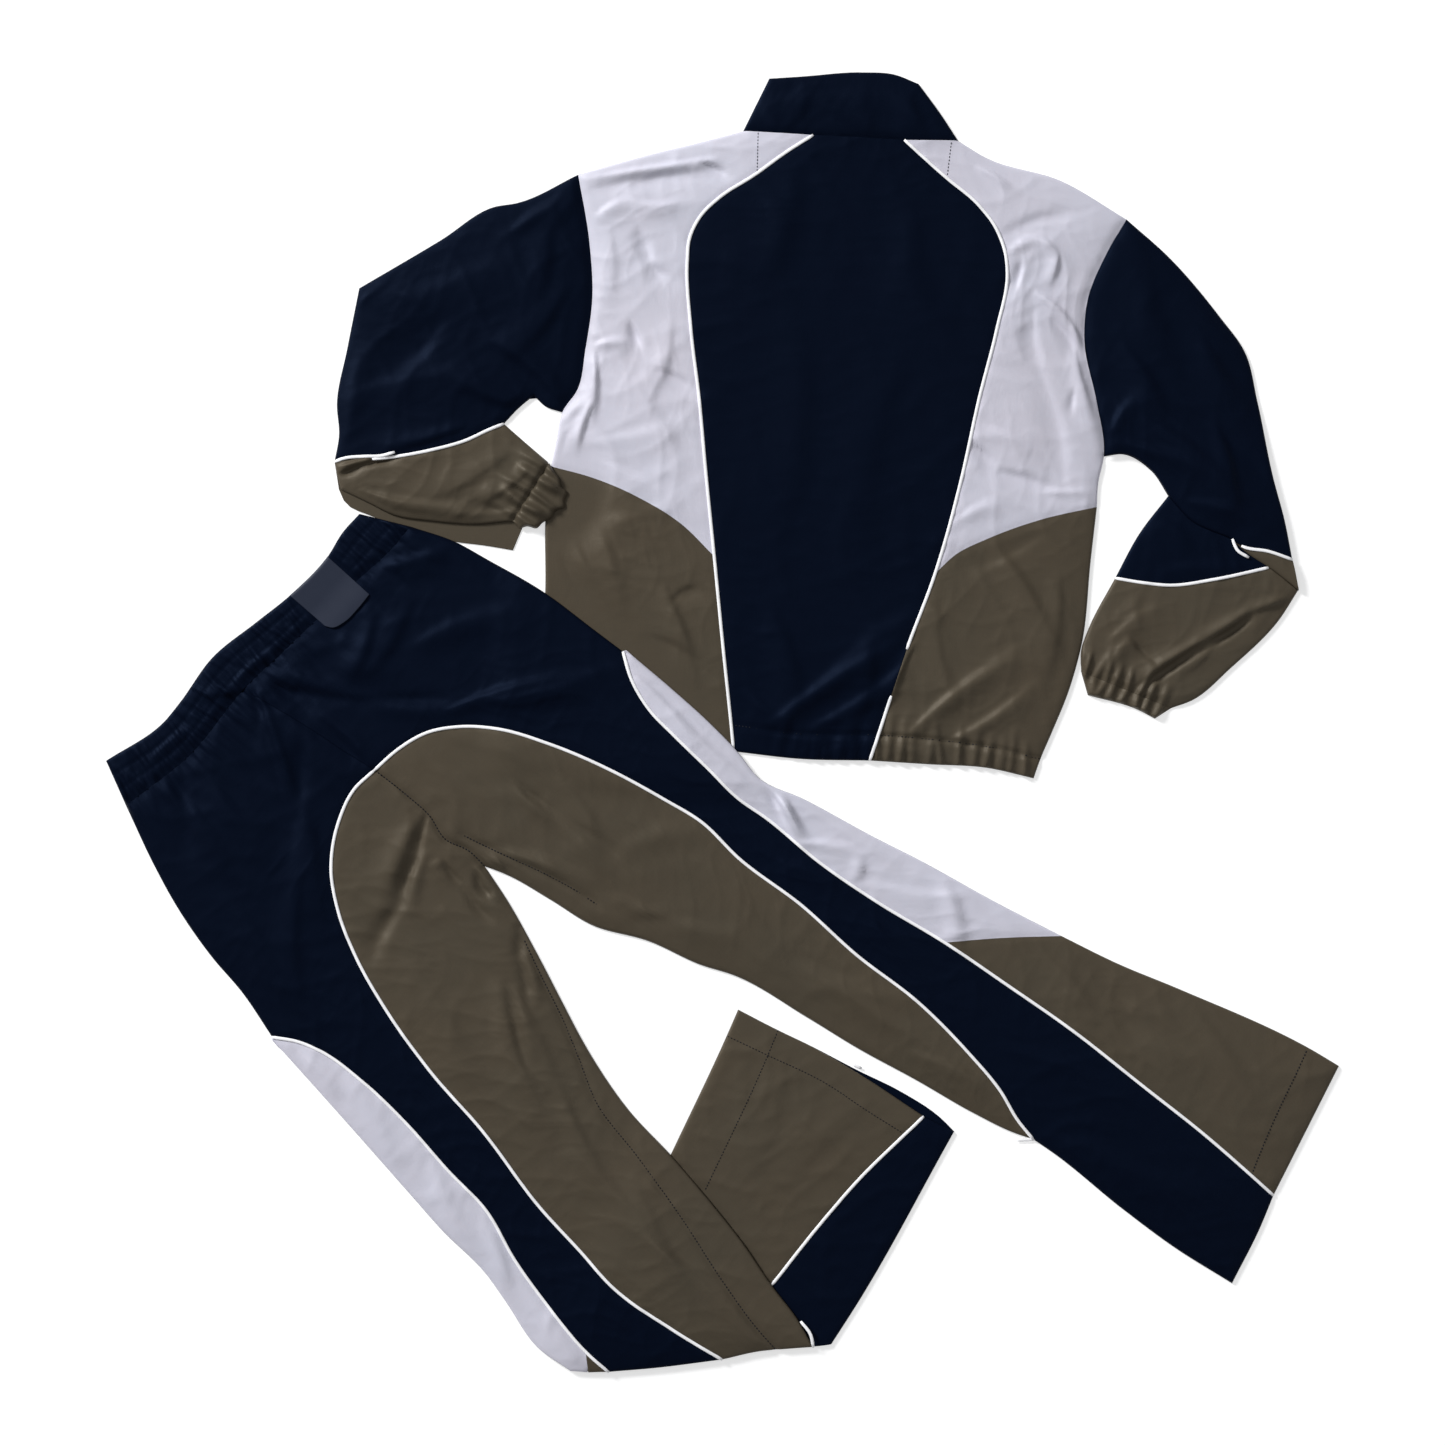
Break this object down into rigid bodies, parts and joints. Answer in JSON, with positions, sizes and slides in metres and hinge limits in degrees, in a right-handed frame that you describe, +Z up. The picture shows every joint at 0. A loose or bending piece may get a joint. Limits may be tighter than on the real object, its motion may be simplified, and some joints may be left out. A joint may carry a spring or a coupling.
{
  "type": "jacket and trousers set, laid flat",
  "caption": "Tracksuit jacket and flared trousers laid flat with their backs up, colour-blocked panels, white piping, elastic waist, hem and cuffs",
  "frame": {"origin": "middle of the ground that the set covers, on the surface it lies on", "axes": "+Z up off the surface; +Y towards the jacket's collar as the picture shows it; +X to the picture's right"},
  "size_m": [1.2321, 1.2994, 0.0139],
  "materials": {
    "navy_cloth": "thin woven polyester, slight sheen",
    "light_cloth": "thin woven polyester, slight sheen",
    "olive_cloth": "thin woven polyester, slight sheen",
    "piping": "smooth woven piping",
    "patch": "matte woven patch, blank",
    "zip_slider": "dark lacquered metal"
  },
  "bodies": {
    "root": {"jacket_back": "navy_cloth", "jacket_yoke_left": "light_cloth", "jacket_yoke_right": "light_cloth", "jacket_side_left": "olive_cloth", "jacket_side_right": "olive_cloth", "jacket_collar": "navy_cloth", "jacket_collar_front": "navy_cloth", "jacket_front_left": "navy_cloth", "jacket_front_right": "navy_cloth", "jacket_zip": "navy_cloth", "jacket_zip_slider": "zip_slider", "jacket_piping_left": "piping", "jacket_piping_right": "piping", "sleeve_left_upper": "navy_cloth", "sleeve_left_upper_under": "navy_cloth", "sleeve_left_lower": "olive_cloth", "sleeve_left_lower_under": "olive_cloth", "sleeve_left_cuff": "olive_cloth", "sleeve_left_piping": "piping", "sleeve_right_upper": "navy_cloth", "sleeve_right_upper_under": "navy_cloth", "sleeve_right_turn": "olive_cloth", "sleeve_right_fold": "navy_cloth", "sleeve_right_middle": "navy_cloth", "sleeve_right_lower": "olive_cloth", "sleeve_right_lower_under": "olive_cloth", "sleeve_right_cuff": "olive_cloth", "sleeve_right_piping_upper": "piping", "sleeve_right_piping_lower": "piping", "trousers_waistband": "navy_cloth", "trousers_waistband_front": "navy_cloth", "trousers_patch": "patch", "trousers_back_left": "navy_cloth", "trousers_back_right": "navy_cloth", "trousers_inner_left": "olive_cloth", "trousers_inner_right": "olive_cloth", "trousers_outer_left": "light_cloth", "trousers_outer_right": "light_cloth", "trousers_shin_left": "olive_cloth", "trousers_shin_right": "olive_cloth", "trousers_front_left": "navy_cloth", "trousers_front_right": "navy_cloth", "trousers_end_fold": "olive_cloth", "trousers_end_inner": "olive_cloth", "trousers_end_stripe": "navy_cloth", "trousers_end_under": "navy_cloth", "trousers_piping_arch_left": "piping", "trousers_piping_arch_right": "piping", "trousers_piping_outer_left": "piping", "trousers_piping_outer_right": "piping", "trousers_piping_end": "piping"}
  },
  "joints": []
}
